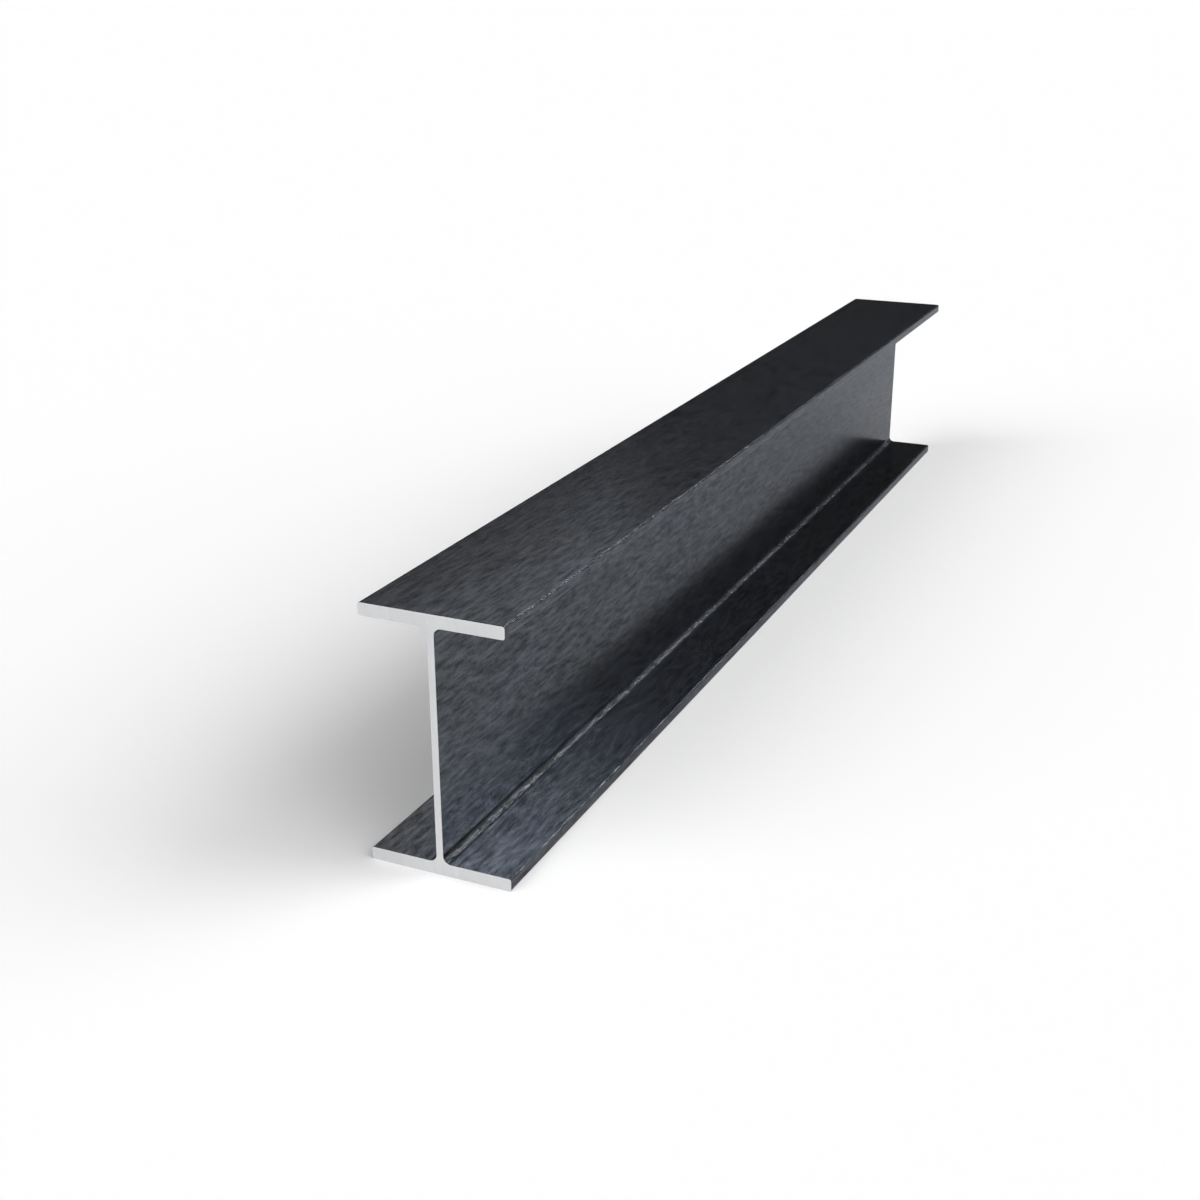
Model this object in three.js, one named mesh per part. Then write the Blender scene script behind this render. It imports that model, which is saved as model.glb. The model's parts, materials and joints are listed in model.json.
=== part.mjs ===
// Hot-rolled steel I-beam with parallel flanges: a universal beam of serial size
// 254 x 146 at 43 kg/m, cut to length with square sawn ends. It is rolled in one piece.
//
// Millimetres, +Z up. The beam runs along X and stands on its bottom flange.
// The origin is on the underside of the bottom flange, at mid width and mid length.
import * as THREE from 'three';

// Driving dimensions of the rolled section and of the cut.
const LENGTH = 1600;
const DEPTH = 259.6;
const FLANGE_WIDTH = 147.3;
const FLANGE_THICKNESS = 12.7;
const WEB_THICKNESS = 7.2;
const ROOT_RADIUS = 7.6; // fillet where the web meets a flange
const TOE_RADIUS = 2.5; // rolled easing on the corners of each flange toe

// Facets on the quarter turn of every rounded corner. A quarter arc is split into twice the
// extrusion's curve segments.
const CORNER_FACETS = 16;
const CURVE_SEGMENTS = CORNER_FACETS / 2;

// The square corners of the section and the radius that rounds each one, counter-clockwise from
// the bottom left toe. The first number of a corner lies on Y and the second on Z.
function sectionCorners() {
  const toe = FLANGE_WIDTH / 2;
  const web = WEB_THICKNESS / 2;
  const bottomInner = FLANGE_THICKNESS;
  const topInner = DEPTH - FLANGE_THICKNESS;
  const corner = (y, z, radius) => ({ at: new THREE.Vector2(y, z), radius });
  return [
    corner(-toe, 0, TOE_RADIUS),
    corner(toe, 0, TOE_RADIUS),
    corner(toe, bottomInner, TOE_RADIUS),
    corner(web, bottomInner, ROOT_RADIUS),
    corner(web, topInner, ROOT_RADIUS),
    corner(toe, topInner, TOE_RADIUS),
    corner(toe, DEPTH, TOE_RADIUS),
    corner(-toe, DEPTH, TOE_RADIUS),
    corner(-toe, topInner, TOE_RADIUS),
    corner(-web, topInner, ROOT_RADIUS),
    corner(-web, bottomInner, ROOT_RADIUS),
    corner(-toe, bottomInner, TOE_RADIUS),
  ];
}

// Adds the arc that rounds one square corner. The straight that leads to it is added with it.
// An outward corner turns counter-clockwise and a root, which is hollow, turns clockwise.
function roundCorner(outline, before, corner, after) {
  const back = before.at.clone().sub(corner.at).normalize();
  const ahead = after.at.clone().sub(corner.at).normalize();
  const centre = corner.at.clone().addScaledVector(back.clone().add(ahead), corner.radius);
  const startAngle = ahead.clone().negate().angle();
  const endAngle = back.clone().negate().angle();
  const hollow = ahead.cross(back) < 0;
  outline.absarc(centre.x, centre.y, corner.radius, startAngle, endAngle, hollow);
}

// The closed outline of the rolled section.
function sectionShape() {
  const corners = sectionCorners();
  const outline = new THREE.Shape();
  corners.forEach((corner, index) => {
    const before = corners.at(index - 1);
    const after = corners[(index + 1) % corners.length];
    roundCorner(outline, before, corner, after);
  });
  return outline;
}

// Extrudes the section into the bar. An extrusion runs along Z from 0, so the bar is turned to run
// along X with the section's two axes on Y and Z, and is slid back by half its length.
function rolledBar() {
  const bar = new THREE.ExtrudeGeometry(sectionShape(), {
    depth: LENGTH,
    curveSegments: CURVE_SEGMENTS,
    bevelEnabled: false,
  });
  const alongX = new THREE.Matrix4().makeBasis(
    new THREE.Vector3(0, 1, 0),
    new THREE.Vector3(0, 0, 1),
    new THREE.Vector3(1, 0, 0),
  );
  return bar.applyMatrix4(alongX).translate(-LENGTH / 2, 0, 0);
}

// Dark blue-grey mill scale, as the bar comes off the rolls.
const millScale = new THREE.MeshStandardMaterial({
  name: 'mill_scale',
  color: 0x43474d,
  roughness: 0.55,
  metalness: 0.6,
});

const beam = new THREE.Mesh(rolledBar(), millScale);
beam.name = 'i_beam';

const part = new THREE.Group();
part.name = 'steel_i_beam';
part.add(beam);

export default part;
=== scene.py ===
"""Looks of a hot-rolled steel I-beam, and of the pale studio that it stands in.

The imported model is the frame. Every length is in metres: X runs along the bar, Y across its
flanges and Z up, with the origin under the middle of the bottom flange.
"""

import json
import math

import bpy
from bpy.props import FloatProperty, FloatVectorProperty, IntProperty, PointerProperty
from mathutils import Matrix, Vector


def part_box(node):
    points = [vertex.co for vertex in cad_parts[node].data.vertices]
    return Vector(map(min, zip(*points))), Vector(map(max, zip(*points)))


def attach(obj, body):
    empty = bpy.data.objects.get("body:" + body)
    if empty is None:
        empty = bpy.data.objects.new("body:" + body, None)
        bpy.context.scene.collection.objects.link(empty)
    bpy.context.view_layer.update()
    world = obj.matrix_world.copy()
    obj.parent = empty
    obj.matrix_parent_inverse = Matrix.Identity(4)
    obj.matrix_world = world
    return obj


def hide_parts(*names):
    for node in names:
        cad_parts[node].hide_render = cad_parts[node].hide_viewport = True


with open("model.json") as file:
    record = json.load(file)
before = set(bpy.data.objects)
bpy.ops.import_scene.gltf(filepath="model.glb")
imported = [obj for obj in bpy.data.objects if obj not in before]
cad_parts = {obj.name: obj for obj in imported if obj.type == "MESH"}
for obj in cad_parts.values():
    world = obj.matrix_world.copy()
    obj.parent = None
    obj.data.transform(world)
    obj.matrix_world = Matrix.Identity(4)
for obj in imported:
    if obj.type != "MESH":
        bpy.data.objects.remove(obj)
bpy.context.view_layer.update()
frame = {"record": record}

bl_info = {
    "name": "Rolled Steel Beam",
    "version": (1, 0, 0),
    "blender": (4, 5, 0),
    "location": "View3D > Sidebar > Steel Beam",
    "description": "Rolls a steel I-beam with sawn ends and sets up a pale studio round it",
    "category": "Object",
}

# Names in the imported model, and of the body that the bar hangs from.
BAR_NODE = "i_beam"
BAR_BODY = "root"

# The bar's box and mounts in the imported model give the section's main sizes.
BAR_LOW, BAR_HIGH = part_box(BAR_NODE)
MOUNTS = {mount["name"]: Vector(mount["pos_m"]) for mount in frame["record"]["mounts"]}
FLANGE_THICKNESS = MOUNTS["bottom_flange_upper_face_plus_y"].z
WEB_THICKNESS = 2 * MOUNTS["web_face_plus_y"].y


# ---------------------------------------------------------------- settings


class BarSettings(bpy.types.PropertyGroup):
    """Sizes of the rolled section and of its sawn ends."""

    length: FloatProperty(
        name="Length",
        description="Length of the bar between its two cuts",
        default=BAR_HIGH.x - BAR_LOW.x, unit="LENGTH", subtype="DISTANCE",
    )
    depth: FloatProperty(
        name="Depth",
        description="Height of the section over both flanges",
        default=BAR_HIGH.z - BAR_LOW.z, unit="LENGTH", subtype="DISTANCE",
    )
    flange_width: FloatProperty(
        name="Flange width",
        description="Width of each flange from toe to toe",
        default=BAR_HIGH.y - BAR_LOW.y, unit="LENGTH", subtype="DISTANCE",
    )
    flange_thickness: FloatProperty(
        name="Flange thickness",
        description="Thickness of each flange",
        default=FLANGE_THICKNESS, unit="LENGTH", subtype="DISTANCE", precision=4,
    )
    web_thickness: FloatProperty(
        name="Web thickness",
        description="Thickness of the upright web",
        default=WEB_THICKNESS, unit="LENGTH", subtype="DISTANCE", precision=4,
    )
    root_radius: FloatProperty(
        name="Root radius",
        description="Fillet where the web meets a flange",
        default=0.0076, unit="LENGTH", subtype="DISTANCE", precision=4,
    )
    toe_radius: FloatProperty(
        name="Toe radius",
        description="Rolled easing on the corners of each flange toe",
        default=0.0025, unit="LENGTH", subtype="DISTANCE", precision=4,
    )
    corner_facets: IntProperty(
        name="Corner facets",
        description="Faces round each quarter turn of the section",
        default=12, min=2,
    )
    bar_steps: IntProperty(
        name="Bar steps",
        description="Rows of faces along the bar",
        default=80, min=1,
    )
    sawn_arris: FloatProperty(
        name="Sawn arris",
        description="Width of the edge that the file leaves on each sawn end",
        default=0.0004, unit="LENGTH", subtype="DISTANCE", precision=4,
    )


class ScaleSettings(bpy.types.PropertyGroup):
    """Mill scale, the dark oxide skin that the bar brings from the rolls."""

    dark: FloatVectorProperty(
        name="Dark scale",
        description="Colour of the darkest streaks",
        default=(0.022, 0.024, 0.028), subtype="COLOR", min=0, max=1,
    )
    light: FloatVectorProperty(
        name="Light scale",
        description="Colour of the lightest streaks",
        default=(0.122, 0.132, 0.150), subtype="COLOR", min=0, max=1,
    )
    patch_tint: FloatVectorProperty(
        name="Patch tint",
        description="Tint of the patches where the scale turns from blue to plain grey",
        default=(1.0, 0.985, 0.95), subtype="COLOR", min=0, max=1,
    )
    rubbed: FloatVectorProperty(
        name="Rubbed arris",
        description="Colour of the toe corners, where handling has rubbed the scale thin",
        default=(0.10, 0.107, 0.118), subtype="COLOR", min=0, max=1,
    )
    streak_width: FloatProperty(
        name="Streak width",
        description="Width across the bar of the short streaks in the scale",
        default=0.005, unit="LENGTH", subtype="DISTANCE", precision=4,
    )
    roughness: FloatProperty(
        name="Roughness",
        description="Mean roughness of the scale",
        default=0.20, min=0, max=1, subtype="FACTOR",
    )
    corner_roughness: FloatProperty(
        name="Corner roughness",
        description="Roughness in the root fillets and on the toe corners",
        default=0.27, min=0, max=1, subtype="FACTOR",
    )
    metallic: FloatProperty(
        name="Metallic",
        description="Share of the scale that shines as bare metal does",
        default=0.8, min=0, max=1, subtype="FACTOR",
    )
    edge_shine: FloatVectorProperty(
        name="Edge shine",
        description="How much of a bare metal's shine the scale keeps at a glancing angle",
        default=(0.53, 0.545, 0.57), subtype="COLOR", min=0, max=1,
    )


class SawnSettings(bpy.types.PropertyGroup):
    """Bright steel of the two sawn ends."""

    colour: FloatVectorProperty(
        name="Sawn steel",
        description="Colour of the freshly cut face",
        default=(0.66, 0.665, 0.68), subtype="COLOR", min=0, max=1,
    )
    shade: FloatVectorProperty(
        name="Saw line",
        description="Colour in the bottom of the lines that the saw leaves",
        default=(0.58, 0.585, 0.60), subtype="COLOR", min=0, max=1,
    )
    tooth_pitch: FloatProperty(
        name="Tooth pitch",
        description="Distance between the fine lines that the saw leaves",
        default=0.0012, unit="LENGTH", subtype="DISTANCE", precision=4,
    )
    saw_angle: FloatProperty(
        name="Saw angle",
        description="Lean of the saw's lines from upright",
        default=math.radians(12), subtype="ANGLE",
    )


class StudioSettings(bpy.types.PropertyGroup):
    """Floor, lamps and camera."""

    focal_length: FloatProperty(
        name="Focal length",
        description="Lens of the camera on a 36 mm sensor, in millimetres",
        default=47.643,
    )
    fill: FloatProperty(
        name="Fill",
        description="Strength of the even light that comes from all round",
        default=0.05, min=0, max=1,
    )
    floor_colour: FloatVectorProperty(
        name="Floor",
        description="Colour of the floor as it lights the bar",
        default=(0.8, 0.8, 0.8), subtype="COLOR", min=0, max=1,
    )


# ---------------------------------------------------------------- node trees


class NodeTree:
    """Adds nodes to a node tree and wires them up."""

    def __init__(self, tree):
        self.tree = tree

    def add(self, kind, inputs=None, **settings):
        """A new node with its settings and inputs. An input is a value or another node's output."""
        node = self.tree.nodes.new(kind)
        for name, value in settings.items():
            setattr(node, name, value)
        for name, value in (inputs or {}).items():
            self.feed(node.inputs[name], value)
        return node

    def feed(self, socket, value):
        """Links an output to the socket, or sets its value."""
        if isinstance(value, bpy.types.NodeSocket):
            self.tree.links.new(value, socket)
        else:
            socket.default_value = value

    def math(self, operation, *values):
        """The result of a Math node."""
        node = self.tree.nodes.new("ShaderNodeMath")
        node.operation = operation
        for socket, value in zip(node.inputs, values):
            self.feed(socket, value)
        return node.outputs["Value"]

    def remap(self, value, low, high, to_low, to_high):
        """The value moved from one range to another, and kept inside it."""
        sizes = {"Value": value, "From Min": low, "From Max": high, "To Min": to_low, "To Max": to_high}
        return self.add("ShaderNodeMapRange", sizes).outputs["Result"]

    def noise(self, place, size, detail=2.0, roughness=0.5):
        """Fractal noise whose largest blotches are about as wide as the size."""
        grain = {"Vector": place, "Scale": 1 / size, "Detail": detail, "Roughness": roughness}
        return self.add("ShaderNodeTexNoise", grain).outputs["Fac"]

    def total(self, *shares):
        """The sum of the values, each times its own share."""
        whole = 0
        for value, share in shares:
            whole = self.math("MULTIPLY_ADD", value, share, whole)
        return whole

    def mix(self, factor, first, second, blend="MIX"):
        """Two colours mixed by a factor."""
        node = self.add("ShaderNodeMix", data_type="RGBA", blend_type=blend)
        sockets = {socket.identifier: socket for socket in (*node.inputs, *node.outputs)}
        self.feed(sockets["Factor_Float"], factor)
        self.feed(sockets["A_Color"], first)
        self.feed(sockets["B_Color"], second)
        return sockets["Result_Color"]

    def pick(self, index, values):
        """The value whose place in the list is the index, as a field."""
        node = self.add("GeometryNodeIndexSwitch", data_type="FLOAT")
        while len(node.index_switch_items) < len(values):
            node.index_switch_items.new()
        self.feed(node.inputs["Index"], index)
        for place, value in enumerate(values):
            self.feed(node.inputs[str(place)], value)
        return node.outputs["Output"]


# ---------------------------------------------------------------- the rolled bar

# A face of the bar belongs to a sawn end where its normal leans this far along the bar.
END_LEAN = 0.5
# The file takes the edges that turn more than this, which are only those round the two cuts.
FILED_ANGLE = math.radians(60)
FILED_FACETS = 2
# The large flat faces keep their own normals, and the narrow ones beside them bend to meet them.
FLATTENING_WEIGHT = 100

BAR_INPUTS = {
    "Length": "NodeSocketFloat",
    "Depth": "NodeSocketFloat",
    "Flange Width": "NodeSocketFloat",
    "Flange Thickness": "NodeSocketFloat",
    "Web Thickness": "NodeSocketFloat",
    "Root Radius": "NodeSocketFloat",
    "Toe Radius": "NodeSocketFloat",
    "Corner Facets": "NodeSocketInt",
    "Bar Steps": "NodeSocketInt",
    "Rolled Steel": "NodeSocketMaterial",
    "Sawn Steel": "NodeSocketMaterial",
}


def section_outline(nodes, sizes):
    """The I section as a closed curve on its own X and Y, with every corner rounded."""
    toe = nodes.math("MULTIPLY", sizes["Flange Width"], 0.5)
    web = nodes.math("MULTIPLY", sizes["Web Thickness"], 0.5)
    toe_back = nodes.math("MULTIPLY", toe, -1)
    web_back = nodes.math("MULTIPLY", web, -1)
    low = sizes["Flange Thickness"]
    high = nodes.math("SUBTRACT", sizes["Depth"], low)
    top = sizes["Depth"]
    toe_radius, root_radius = sizes["Toe Radius"], sizes["Root Radius"]
    corners = (
        (toe_back, 0, toe_radius),
        (toe, 0, toe_radius),
        (toe, low, toe_radius),
        (web, low, root_radius),
        (web, high, root_radius),
        (toe, high, toe_radius),
        (toe, top, toe_radius),
        (toe_back, top, toe_radius),
        (toe_back, high, toe_radius),
        (web_back, high, root_radius),
        (web_back, low, root_radius),
        (toe_back, low, toe_radius),
    )
    index = nodes.add("GeometryNodeInputIndex").outputs["Index"]
    across, up, radius = (nodes.pick(index, values) for values in zip(*corners))
    ring = nodes.add("GeometryNodeCurvePrimitiveCircle", {"Resolution": len(corners)})
    place = nodes.add("ShaderNodeCombineXYZ", {"X": across, "Y": up, "Z": 0})
    square = nodes.add(
        "GeometryNodeSetPosition",
        {"Geometry": ring.outputs["Curve"], "Position": place.outputs["Vector"]},
    )
    rounded = nodes.add(
        "GeometryNodeFilletCurve",
        {"Curve": square.outputs["Geometry"], "Count": sizes["Corner Facets"], "Radius": radius},
        mode="POLY",
    )
    return rounded.outputs["Curve"]


def bar_tree():
    """Geometry nodes that roll the section along the bar and close both ends."""
    tree = bpy.data.node_groups.new("rolled_bar", "GeometryNodeTree")
    for name, kind in BAR_INPUTS.items():
        tree.interface.new_socket(name, in_out="INPUT", socket_type=kind)
    tree.interface.new_socket("Geometry", in_out="OUTPUT", socket_type="NodeSocketGeometry")
    nodes = NodeTree(tree)
    sizes = nodes.add("NodeGroupInput").outputs
    outline = section_outline(nodes, sizes)

    half = nodes.math("MULTIPLY", sizes["Length"], 0.5)
    start = nodes.add("ShaderNodeCombineXYZ", {"Z": nodes.math("MULTIPLY", half, -1)})
    end = nodes.add("ShaderNodeCombineXYZ", {"Z": half})
    line = nodes.add(
        "GeometryNodeCurvePrimitiveLine",
        {"Start": start.outputs["Vector"], "End": end.outputs["Vector"]},
    )
    rings = nodes.math("ADD", sizes["Bar Steps"], 1)
    rail = nodes.add("GeometryNodeResampleCurve", {"Curve": line.outputs["Curve"], "Count": rings})
    swept = nodes.add(
        "GeometryNodeCurveToMesh",
        {"Curve": rail.outputs["Curve"], "Profile Curve": outline, "Fill Caps": True},
    )
    laid = nodes.add(
        "GeometryNodeTransform",
        {"Geometry": swept.outputs["Mesh"], "Rotation": (math.pi / 2, 0, math.pi / 2)},
    )
    whole = nodes.add("GeometryNodeRealizeInstances", {"Geometry": laid.outputs["Geometry"]})
    rolled = nodes.add(
        "GeometryNodeSetMaterial",
        {"Geometry": whole.outputs["Geometry"], "Material": sizes["Rolled Steel"]},
    )
    normal = nodes.add("GeometryNodeInputNormal").outputs["Normal"]
    along = nodes.add("ShaderNodeSeparateXYZ", {"Vector": normal}).outputs["X"]
    is_end = nodes.math("GREATER_THAN", nodes.math("ABSOLUTE", along), END_LEAN)
    sawn = nodes.add(
        "GeometryNodeSetMaterial",
        {"Geometry": rolled.outputs["Geometry"], "Selection": is_end, "Material": sizes["Sawn Steel"]},
    )
    smooth = nodes.add("GeometryNodeSetShadeSmooth", {"Geometry": sawn.outputs["Geometry"]})
    nodes.add("NodeGroupOutput", {"Geometry": smooth.outputs["Geometry"]})
    return tree


def set_modifier_inputs(modifier, values):
    """Sets a geometry nodes modifier's inputs, each found by its name and set by its identifier."""
    for socket in modifier.node_group.interface.items_tree:
        if socket.in_out == "INPUT":
            modifier[socket.identifier] = values[socket.name]


def baked(work, name):
    """A plain mesh object at the origin with the working object's finished shape."""
    graph = bpy.context.evaluated_depsgraph_get()
    mesh = bpy.data.meshes.new_from_object(work.evaluated_get(graph), depsgraph=graph)
    mesh.name = name
    bpy.data.objects.remove(work)
    piece = bpy.data.objects.new(name, mesh)
    bpy.context.scene.collection.objects.link(piece)
    return piece


class STEELBEAM_OT_roll_bar(bpy.types.Operator):
    """Roll the bar, saw its ends and give it its mill scale"""

    bl_idname = "steelbeam.roll_bar"
    bl_label = "Roll the Bar"

    def execute(self, context):
        bar = context.scene.steel_bar
        work = bpy.data.objects.new("bar_work", bpy.data.meshes.new("bar_work"))
        context.scene.collection.objects.link(work)
        rolling = work.modifiers.new("rolling", "NODES")
        rolling.node_group = bar_tree()
        set_modifier_inputs(rolling, {
            "Length": bar.length,
            "Depth": bar.depth,
            "Flange Width": bar.flange_width,
            "Flange Thickness": bar.flange_thickness,
            "Web Thickness": bar.web_thickness,
            "Root Radius": bar.root_radius,
            "Toe Radius": bar.toe_radius,
            "Corner Facets": bar.corner_facets,
            "Bar Steps": bar.bar_steps,
            "Rolled Steel": mill_scale(context.scene.steel_scale, bar),
            "Sawn Steel": sawn_steel(context.scene.steel_sawn),
        })
        filing = work.modifiers.new("filing", "BEVEL")
        filing.width = bar.sawn_arris
        filing.segments = FILED_FACETS
        filing.limit_method = "ANGLE"
        filing.angle_limit = FILED_ANGLE
        flattening = work.modifiers.new("flattening", "WEIGHTED_NORMAL")
        flattening.mode = "FACE_AREA"
        flattening.weight = FLATTENING_WEIGHT
        piece = baked(work, "rolled_bar")
        if len(piece.data.polygons) == 0:
            raise RuntimeError("the bar came out empty")
        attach(piece, BAR_BODY)
        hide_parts(BAR_NODE)
        return {"FINISHED"}


# ---------------------------------------------------------------- materials

# The layers of the mill scale's pattern: the width of a blotch across the bar, how many times
# longer it is drawn along the bar, and the number and strength of the finer octaves. The streaks'
# width is a setting. All of them lie a little askew to the bar.
STREAKS = {"stretch": 5, "detail": 2, "roughness": 0.75}
CLOUDS = {"width": 0.035, "stretch": 2, "detail": 1, "roughness": 0.7}
PATCHES = {"width": 0.09, "stretch": 2, "detail": 2, "roughness": 0.5}
ROLL_LINES = {"width": 0.0022, "stretch": 16, "detail": 2, "roughness": 0.6}
GRAIN = {"width": 0.0012, "stretch": 3, "detail": 1, "roughness": 0.5}
RILLS = {"width": 0.0003, "stretch": 100, "detail": 1, "roughness": 0.5}
STREAK_SKEW = math.radians(2)

# Parts of the noise's range from 0 to 1 over which each look goes from one end to the other.
TONE_RANGE = (0.37, 0.63)
MATT_RANGE = (0.4, 0.6)
PATCH_RANGE = (0.42, 0.6)
RUBBED_RANGE = (0.35, 0.65)

# How far the scale is rubbed off the toe corners, how far the roughness swings to either side
# between dark and light streaks, and the relief of the streaks and of the rills in the corners.
RUBBED_SHARE = (0.15, 0.35)
MATT_SWING = 0.01
SCALE_RELIEF = 0.0001
SCALE_BUMP = 0.12
RILL_RELIEF = 0.0003

# The sawn ends: the length of a saw line over its pitch, the size of the soft clouds between the
# lines, the roughness at the bottom and the top of a line, and the lines' relief.
SAW_LINE_STRETCH = 50
SAW_CLOUD_SIZE = 0.03
SAW_RANGE = (0.3, 0.7)
SAW_ROUGHNESS = (0.62, 0.5)
SAW_RELIEF = 0.00005
SAW_BUMP = 0.3


def new_material(name):
    """A node material with its Principled shader, ready to be wired."""
    material = bpy.data.materials.new(name)
    material.use_nodes = True
    return material, NodeTree(material.node_tree), material.node_tree.nodes["Principled BSDF"]


def drawn_noise(nodes, place, width, stretch, detail, roughness):
    """Noise whose blotches are drawn out along the bar, and lie a little askew to it."""
    skew = (0, -STREAK_SKEW, STREAK_SKEW)
    turned = nodes.add("ShaderNodeMapping", {"Vector": place, "Rotation": skew})
    shape = {"Vector": turned.outputs["Vector"], "Scale": (1 / stretch, 1, 1)}
    drawn_out = nodes.add("ShaderNodeMapping", shape).outputs["Vector"]
    return nodes.noise(drawn_out, width, detail, roughness)


def section_place(nodes, place, bar):
    """Distance sideways from the middle of the web, and up or down from mid depth."""
    axes = nodes.add("ShaderNodeSeparateXYZ", {"Vector": place}).outputs
    from_web = nodes.math("ABSOLUTE", axes["Y"])
    from_middle = nodes.math("ABSOLUTE", nodes.math("SUBTRACT", axes["Z"], bar.depth / 2))
    return from_web, from_middle


def toe_arris(nodes, place, bar):
    """1 on the rounded corners of the flange toes and 0 everywhere else."""
    from_web, from_middle = section_place(nodes, place, bar)
    flange_middle = (bar.depth - bar.flange_thickness) / 2
    from_flange = nodes.math("ABSOLUTE", nodes.math("SUBTRACT", from_middle, flange_middle))
    past_side = nodes.math("SUBTRACT", from_web, bar.flange_width / 2 - bar.toe_radius)
    past_face = nodes.math("SUBTRACT", from_flange, bar.flange_thickness / 2 - bar.toe_radius)
    past_both = nodes.math("MINIMUM", past_side, past_face)
    return nodes.remap(past_both, 0, bar.toe_radius / 2, 0, 1)


def root_hollow(nodes, place, bar):
    """1 in the hollow of the root fillets and 0 everywhere else."""
    from_web, from_middle = section_place(nodes, place, bar)
    inner_face = bar.depth / 2 - bar.flange_thickness
    from_inner_face = nodes.math("ABSOLUTE", nodes.math("SUBTRACT", from_middle, inner_face))
    from_web_face = nodes.math("SUBTRACT", from_web, bar.web_thickness / 2)
    farther = nodes.math("MAXIMUM", from_web_face, from_inner_face)
    return nodes.remap(farther, bar.root_radius / 2, bar.root_radius, 1, 0)


def mill_scale(look, bar):
    """Blue-grey oxide with short streaks that the rolls drew out along the bar."""
    material, nodes, steel = new_material("mill_scale")
    place = nodes.add("ShaderNodeTexCoord").outputs["Object"]
    streaks = drawn_noise(nodes, place, look.streak_width, **STREAKS)
    clouds = drawn_noise(nodes, place, **CLOUDS)
    lines = drawn_noise(nodes, place, **ROLL_LINES)
    grain = drawn_noise(nodes, place, **GRAIN)
    patches = drawn_noise(nodes, place, **PATCHES)

    # Each layer of the pattern has its own share in the tone.
    tone = nodes.total((streaks, 0.6), (clouds, 0.08), (lines, 0.17), (grain, 0.15))
    colour = nodes.mix(nodes.remap(tone, *TONE_RANGE, 0, 1), (*look.dark, 1), (*look.light, 1))
    tinted = nodes.remap(patches, *PATCH_RANGE, 0, 1)
    colour = nodes.mix(tinted, colour, (*look.patch_tint, 1), "MULTIPLY")
    arris = toe_arris(nodes, place, bar)
    rubbed = nodes.math("MULTIPLY", arris, nodes.remap(lines, *RUBBED_RANGE, *RUBBED_SHARE))
    colour = nodes.mix(rubbed, colour, (*look.rubbed, 1))
    nodes.feed(steel.inputs["Base Color"], colour)
    steel.inputs["Metallic"].default_value = look.metallic
    steel.inputs["Specular Tint"].default_value = (*look.edge_shine, 1)

    duller, shinier = look.roughness + MATT_SWING, look.roughness - MATT_SWING
    matt = nodes.remap(tone, *MATT_RANGE, duller, shinier)
    corners = nodes.math("MAXIMUM", root_hollow(nodes, place, bar), arris)
    dulled = nodes.remap(corners, 0, 1, 0, look.corner_roughness - look.roughness)
    nodes.feed(steel.inputs["Roughness"], nodes.math("ADD", matt, dulled))

    relief = {"Height": streaks, "Strength": SCALE_BUMP, "Distance": SCALE_RELIEF}
    scaled = nodes.add("ShaderNodeBump", relief).outputs["Normal"]
    rills = drawn_noise(nodes, place, **RILLS)
    relief = {"Height": rills, "Strength": corners, "Distance": RILL_RELIEF, "Normal": scaled}
    nodes.feed(steel.inputs["Normal"], nodes.add("ShaderNodeBump", relief).outputs["Normal"])
    return material


def sawn_steel(look):
    """Light grey steel, matt from the saw, with the fine parallel lines of its teeth."""
    material, nodes, steel = new_material("sawn_steel")
    place = nodes.add("ShaderNodeTexCoord").outputs["Object"]
    turned = nodes.add("ShaderNodeMapping", {"Vector": place, "Rotation": (look.saw_angle, 0, 0)})
    along_cut = {"Vector": turned.outputs["Vector"], "Scale": (1, 1, 1 / SAW_LINE_STRETCH)}
    cut = nodes.add("ShaderNodeMapping", along_cut).outputs["Vector"]
    teeth = nodes.noise(cut, look.tooth_pitch, detail=2, roughness=0.6)
    clouds = nodes.noise(place, SAW_CLOUD_SIZE, detail=2, roughness=0.5)
    shade = nodes.total((teeth, 0.5), (clouds, 0.5))
    colour = nodes.mix(nodes.remap(shade, *SAW_RANGE, 0, 1), (*look.shade, 1), (*look.colour, 1))
    nodes.feed(steel.inputs["Base Color"], colour)
    nodes.feed(steel.inputs["Roughness"], nodes.remap(teeth, *SAW_RANGE, *SAW_ROUGHNESS))
    relief = {"Height": teeth, "Strength": SAW_BUMP, "Distance": SAW_RELIEF}
    nodes.feed(steel.inputs["Normal"], nodes.add("ShaderNodeBump", relief).outputs["Normal"])
    return material


# ---------------------------------------------------------------- studio

WHITE = (1, 1, 1, 1)
BLACK = (0, 0, 0, 1)

# The floor's width, and the faint glow that makes it clear white outside the shadow.
FLOOR_SIZE = 120
FLOOR_LIFT = 0.03

# How far along X the card stands, and its outline: each corner's place across the bar and its
# height. The notch in its top is the corner at 1.52 m.
CARD_DISTANCE = 3
CARD_OUTLINE = ((4.2, 0), (4.2, 3.1), (1.5, 1.52), (1.0, 2.2), (-3.2, 2.2), (-3.2, 0))

# Where the camera stands, and the directions of its right side and of its view.
CAMERA_PLACE = Vector((-1.90532, -0.66378, 0.76668))
CAMERA_RIGHT = Vector((0.411953, -0.911201, -0.002514))
CAMERA_FORWARD = Vector((0.849718, 0.385150, -0.360054))
SENSOR_WIDTH = 36


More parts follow.
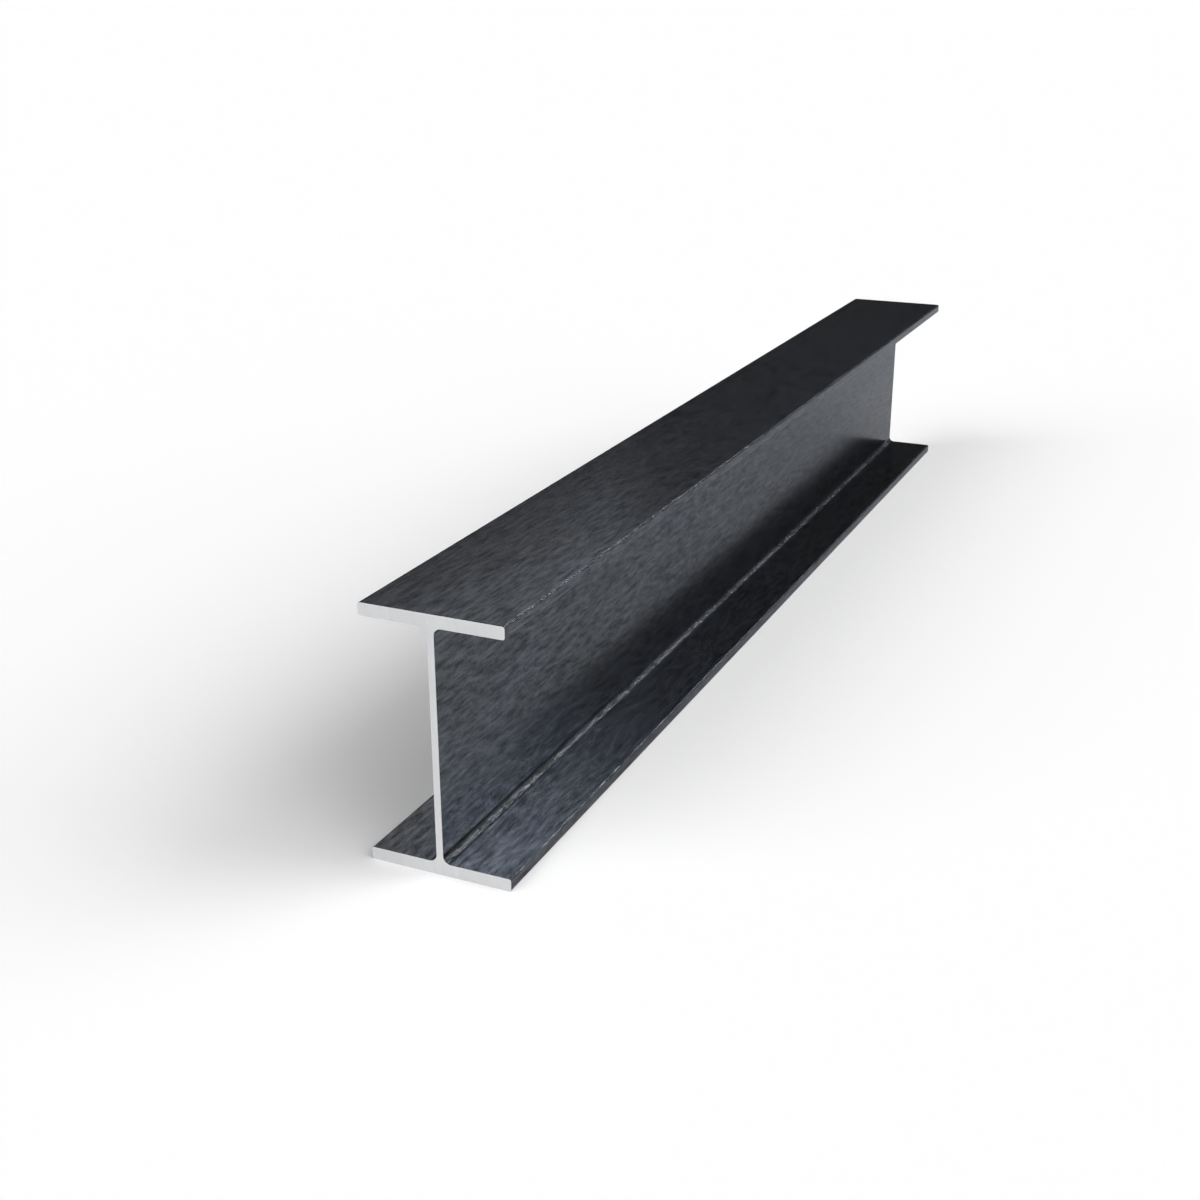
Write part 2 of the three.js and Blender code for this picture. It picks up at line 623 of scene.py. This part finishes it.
def set_camera(studio):
    """The camera, above and to the right of the near end, looking down along the bar."""
    data = bpy.data.cameras.new("camera")
    data.lens = studio.focal_length
    data.sensor_width = SENSOR_WIDTH
    camera = bpy.data.objects.new("camera", data)
    right = CAMERA_RIGHT.normalized()
    back = -CAMERA_FORWARD.normalized()
    up = back.cross(right)
    turn = Matrix((right, up, back)).transposed()
    camera.matrix_world = Matrix.Translation(CAMERA_PLACE) @ turn.to_4x4()
    bpy.context.scene.collection.objects.link(camera)
    bpy.context.scene.camera = camera


def seen_directly(nodes):
    """1 for the rays of the camera, of reflections and of glass, and 0 for the light of the room."""
    ray = nodes.add("ShaderNodeLightPath").outputs
    direct = nodes.math("MAXIMUM", ray["Is Camera Ray"], ray["Is Glossy Ray"])
    return nodes.math("MAXIMUM", direct, ray["Is Transmission Ray"])


def plane(name, corners):
    """A flat face with its own mesh, for the floor and the card."""
    mesh = bpy.data.meshes.new(name)
    mesh.from_pydata(corners, [], [tuple(range(len(corners)))])
    piece = bpy.data.objects.new(name, mesh)
    bpy.context.scene.collection.objects.link(piece)
    return piece


def set_floor(studio):
    """A wide pale floor, which shows white wherever no shadow falls."""
    size = FLOOR_SIZE / 2
    floor = plane("floor", [(-size, -size, 0), (size, -size, 0), (size, size, 0), (-size, size, 0)])
    material, nodes, paint = new_material("floor")
    seen = seen_directly(nodes)
    nodes.feed(paint.inputs["Base Color"], nodes.mix(seen, (*studio.floor_colour, 1), WHITE))
    paint.inputs["Emission Color"].default_value = WHITE
    nodes.feed(paint.inputs["Emission Strength"], nodes.math("MULTIPLY", seen, FLOOR_LIFT))
    paint.inputs["Roughness"].default_value = 1
    paint.inputs["Specular IOR Level"].default_value = 0
    floor.data.materials.append(material)


def set_card():
    """A black card past the far end, which only reflections see. It keeps the white background out
    of the flanges. Through the notch in its top, the top flange still shines a little near its
    near end."""
    card = plane("black_card", [(CARD_DISTANCE, across, up) for across, up in CARD_OUTLINE])
    material, _, paint = new_material("black_card")
    paint.inputs["Base Color"].default_value = BLACK
    paint.inputs["Specular IOR Level"].default_value = 0
    card.data.materials.append(material)
    card.visible_camera = False
    card.visible_diffuse = False
    card.visible_shadow = False


def set_world(studio):
    """A white background with an even fill light."""
    world = bpy.data.worlds.new("studio")
    world.use_nodes = True
    nodes = NodeTree(world.node_tree)
    background = world.node_tree.nodes["Background"]
    background.inputs["Color"].default_value = WHITE
    strength = nodes.remap(seen_directly(nodes), 0, 1, studio.fill, 1)
    nodes.feed(background.inputs["Strength"], strength)
    bpy.context.scene.world = world


def lit_alone(piece_name):
    """A collection for the lamps that light one piece and nothing else."""
    lit = bpy.data.collections.new("lit_" + piece_name)
    lit.objects.link(bpy.data.objects[piece_name])
    return lit


def add_softbox(name, lit, azimuth, elevation, spread, strength):
    """A far lamp of the given angular width. Its azimuth turns from +X to +Y, in degrees."""
    turn, rise = math.radians(azimuth), math.radians(elevation)
    level = math.cos(rise)
    towards = Vector((math.cos(turn) * level, math.sin(turn) * level, math.sin(rise)))
    data = bpy.data.lights.new(name, "SUN")
    data.angle = math.radians(spread)
    data.energy = strength
    lamp = bpy.data.objects.new(name, data)
    lamp.matrix_world = towards.to_track_quat("Z", "Y").to_matrix().to_4x4()
    lamp.light_linking.receiver_collection = lit
    bpy.context.scene.collection.objects.link(lamp)


def set_lamps():
    """Softboxes round the bar, and wide ones for the floor, which give the bar a soft shadow."""
    bar = lit_alone("rolled_bar")
    add_softbox("right_softbox", bar, azimuth=-90, elevation=65, spread=30, strength=1.23)
    add_softbox("front_left_softbox", bar, azimuth=150, elevation=32, spread=28, strength=2.45)
    add_softbox("rear_softbox", bar, azimuth=-28, elevation=33, spread=9, strength=0.80)
    add_softbox("low_rear_softbox", bar, azimuth=-25, elevation=25, spread=6, strength=0.18)
    add_softbox("rear_left_softbox", bar, azimuth=16, elevation=30, spread=8, strength=0.12)
    floor = lit_alone("floor")
    add_softbox("floor_right", floor, azimuth=-90, elevation=50, spread=60, strength=0.84)
    add_softbox("floor_rear_right", floor, azimuth=-60, elevation=30, spread=50, strength=1.69)
    add_softbox("floor_front_right", floor, azimuth=-120, elevation=30, spread=50, strength=1.08)
    add_softbox("floor_left", floor, azimuth=150, elevation=35, spread=50, strength=1.48)


class STEELBEAM_OT_set_studio(bpy.types.Operator):
    """Set the floor, the lamps and the camera"""

    bl_idname = "steelbeam.set_studio"
    bl_label = "Set the Studio"

    def execute(self, context):
        scene = context.scene
        scene.view_settings.view_transform = "Standard"
        set_floor(scene.steel_studio)
        set_card()
        set_lamps()
        set_world(scene.steel_studio)
        set_camera(scene.steel_studio)
        return {"FINISHED"}


# ---------------------------------------------------------------- panel and add-on


class STEELBEAM_PT_panel(bpy.types.Panel):
    """Sizes, looks and steps of the beam"""

    bl_idname = "STEELBEAM_PT_panel"
    bl_label = "Steel Beam"
    bl_space_type = "VIEW_3D"
    bl_region_type = "UI"
    bl_category = "Steel Beam"

    def draw(self, context):
        for group in SETTINGS:
            box = self.layout.box()
            settings = getattr(context.scene, group)
            for name in settings.__annotations__:
                box.prop(settings, name)
        for operator in OPERATORS:
            self.layout.operator(operator.bl_idname)


SETTINGS = {
    "steel_bar": BarSettings,
    "steel_scale": ScaleSettings,
    "steel_sawn": SawnSettings,
    "steel_studio": StudioSettings,
}
OPERATORS = (STEELBEAM_OT_roll_bar, STEELBEAM_OT_set_studio)
CLASSES = (*SETTINGS.values(), *OPERATORS, STEELBEAM_PT_panel)


def register():
    """Registers the classes, and gives every scene the groups of settings."""
    for cls in CLASSES:
        bpy.utils.register_class(cls)
    for name, group in SETTINGS.items():
        setattr(bpy.types.Scene, name, PointerProperty(type=group))


def unregister():
    """Takes away what register added."""
    for name in SETTINGS:
        delattr(bpy.types.Scene, name)
    for cls in reversed(CLASSES):
        bpy.utils.unregister_class(cls)


def main():
    """Rolls the bar and sets the studio round it."""
    register()
    bpy.ops.steelbeam.roll_bar()
    bpy.ops.steelbeam.set_studio()


if __name__ == "__main__":
    main()
